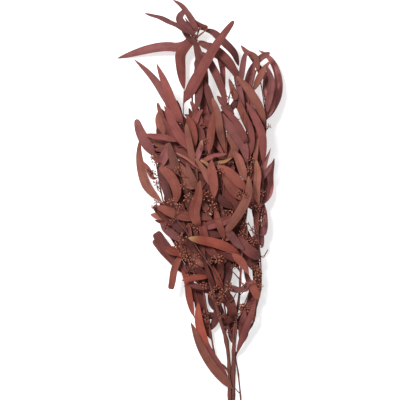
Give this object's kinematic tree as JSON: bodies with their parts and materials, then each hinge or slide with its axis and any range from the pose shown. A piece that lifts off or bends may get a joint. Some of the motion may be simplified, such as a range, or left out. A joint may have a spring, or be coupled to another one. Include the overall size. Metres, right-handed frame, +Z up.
{
  "type": "bunch of dried eucalyptus",
  "caption": "Loose bunch of dried, red-brown eucalyptus with long narrow leaves, thin stems gathered at the cut ends and small clusters of seed capsules, lying on a flat surface.",
  "frame": {"origin": "on the surface that the bunch lies on, below the middle of the bunch's box", "axes": "+Y from the cut ends of the stems to the leaf tips, +X to the right seen from above, +Z up from the surface"},
  "size_m": [0.2482, 0.6362, 0.0803],
  "materials": {
    "stem": "dry, matt, dark red-brown bark",
    "leaf": "dry, matt, dusty red-brown blade with a faint midrib",
    "leaf_dark": "dry, matt, dark purple-red blade with a faint midrib",
    "leaf_bright": "dry, matt, orange-red blade with a faint midrib",
    "seed_capsule": "dry, matt, orange-brown husk with a paler rim"
  },
  "bodies": {
    "root": {"stem_main": "stem", "stem_left": "stem", "stem_far_left": "stem", "stem_right": "stem", "stem_thin": "stem", "leaf_crown_left_1": "leaf", "leaf_crown_left_2": "leaf", "leaf_crown_left_3": "leaf_dark", "leaf_crown_right_1": "leaf", "leaf_right_1": "leaf", "leaf_left_1": "leaf_dark", "leaf_left_2": "leaf_dark", "leaf_lower_left_1": "leaf_dark", "leaf_back_1": "leaf_dark", "leaf_back_2": "leaf_dark", "leaf_back_3": "leaf_dark", "leaf_back_4": "leaf_dark", "leaf_crown_left_4": "leaf", "leaf_crown_left_5": "leaf", "leaf_crown_left_6": "leaf", "leaf_crown_left_7": "leaf", "leaf_crown_left_8": "leaf", "leaf_crown_left_9": "leaf", "leaf_crown_left_10": "leaf", "seeds_left_1": "seed_capsule", "leaf_left_3": "leaf", "leaf_left_4": "leaf_bright", "leaf_upper_1": "leaf", "leaf_upper_2": "leaf", "leaf_crown_right_2": "leaf_bright", "leaf_crown_right_3": "leaf", "leaf_crown_right_4": "leaf", "leaf_right_2": "leaf_bright", "leaf_upper_3": "leaf", "leaf_upper_4": "leaf_bright", "leaf_right_3": "leaf", "leaf_middle_1": "leaf", "leaf_middle_2": "leaf", "leaf_lower_left_2": "leaf", "seeds_right_1": "seed_capsule", "seeds_right_2": "seed_capsule", "seeds_right_3": "seed_capsule", "leaf_lower_right_1": "leaf_bright", "leaf_lower_right_2": "leaf_dark", "leaf_lower_right_3": "leaf", "seeds_middle_1": "seed_capsule", "leaf_upper_5": "leaf", "leaf_middle_3": "leaf_bright", "stem_front": "stem", "seeds_front_1": "seed_capsule", "seeds_front_2": "seed_capsule", "seeds_front_3": "seed_capsule", "seeds_front_4": "seed_capsule", "seeds_front_5": "seed_capsule", "leaf_lower_left_3": "leaf", "leaf_lower_left_4": "leaf", "leaf_middle_4": "leaf_bright", "leaf_middle_5": "leaf_dark", "leaf_middle_6": "leaf_bright", "leaf_crown_left_11": "leaf_bright"}
  },
  "joints": []
}
